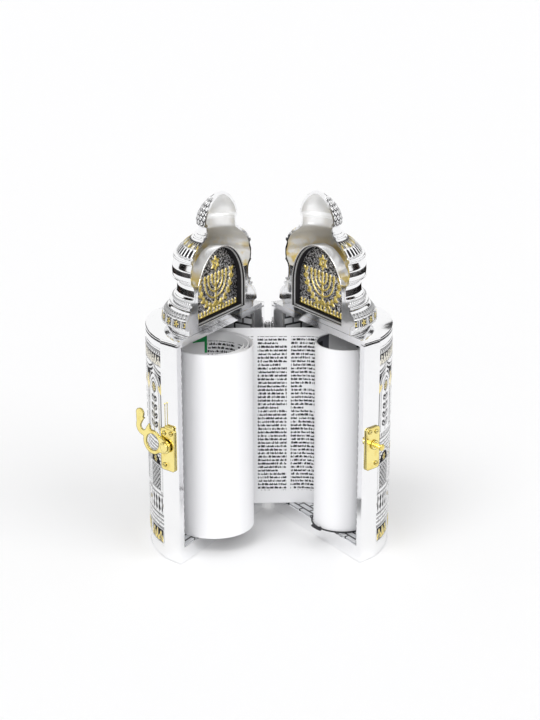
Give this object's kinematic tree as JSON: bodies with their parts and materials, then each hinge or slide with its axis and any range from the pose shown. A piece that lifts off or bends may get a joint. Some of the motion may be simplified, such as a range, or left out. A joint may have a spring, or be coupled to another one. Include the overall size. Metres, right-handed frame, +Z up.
{
  "type": "torah case",
  "caption": "Hinged silver torah case with stepped domed crown, open on a white paper scroll, with brass hook latch.",
  "frame": {"origin": "on the ground under the centre of the whole part's bounding box", "axes": "+Z up, the open mouth faces -Y, +X to the right as seen from the open side; the case hinge is at the back"},
  "size_m": [0.2084, 0.12, 0.2977],
  "materials": {
    "polished_silver": "polished silver plate",
    "relief_silver": "embossed silver plate with dark oxidised grounds",
    "oxidised_ground": "dark pebbled oxidised silver",
    "gold_relief": "polished gold plate",
    "latch_brass": "polished brass",
    "hinge_steel": "plain brass",
    "brick_lining": "satin grey card printed with dark brick joints",
    "black_felt": "short black felt",
    "scroll_paper": "smooth white coated paper printed with rows of dashes",
    "tie_cord": "black covered elastic"
  },
  "bodies": {
    "left_half": {"left_body_shell": "polished_silver", "left_base_pad": "black_felt", "left_relief_panel": "relief_silver", "left_floor_lining": "brick_lining", "left_wall_lining": "brick_lining", "left_crown_band": "relief_silver", "left_crown_dome": "polished_silver", "left_finial": "relief_silver", "left_lunette_tray": "polished_silver", "left_lunette_panel": "oxidised_ground", "left_lunette_lamp": "gold_relief", "left_lunette_star": "gold_relief", "left_lunette_fence": "gold_relief", "left_latch_plate": "latch_brass", "left_hinge_leaf": "hinge_steel", "left_latch_screw_1": "latch_brass", "left_hinge_screw_1": "hinge_steel", "left_latch_screw_2": "latch_brass", "left_hinge_screw_2": "hinge_steel", "left_latch_screw_3": "latch_brass", "left_hinge_screw_3": "hinge_steel", "hook_rivet": "latch_brass", "hinge_pin": "hinge_steel", "left_roll": "scroll_paper"},
    "right_half": {"right_body_shell": "polished_silver", "right_base_pad": "black_felt", "right_relief_panel": "relief_silver", "right_floor_lining": "brick_lining", "right_wall_lining": "brick_lining", "right_crown_band": "relief_silver", "right_crown_dome": "polished_silver", "right_finial": "relief_silver", "right_lunette_tray": "polished_silver", "right_lunette_panel": "oxidised_ground", "right_lunette_lamp": "gold_relief", "right_lunette_star": "gold_relief", "right_lunette_fence": "gold_relief", "right_latch_plate": "latch_brass", "right_hinge_leaf": "hinge_steel", "right_latch_screw_1": "latch_brass", "right_hinge_screw_1": "hinge_steel", "right_latch_screw_2": "latch_brass", "right_hinge_screw_2": "hinge_steel", "right_latch_screw_3": "latch_brass", "right_hinge_screw_3": "hinge_steel", "catch_stud": "latch_brass", "right_roll": "scroll_paper", "open_leaf": "scroll_paper", "roll_tie": "tie_cord"},
    "swing_hook": {"swing_hook": "latch_brass"}
  },
  "joints": [
    {"name": "case_hinge", "type": "hinge", "parent": "left_half", "child": "right_half", "pos_m": [0.00372, 0.05622, 0.097], "axis": [0, 0, 1], "range_deg": [-65, 35], "deforming": ["left_roll", "right_roll", "open_leaf", "roll_tie"]},
    {"name": "hook_pivot", "type": "hinge", "parent": "left_half", "child": "swing_hook", "pos_m": [-0.07811, -0.0502, 0.1013], "axis": [-0.6686, -0.7436, 0], "range_deg": [-153, 60]}
  ]
}
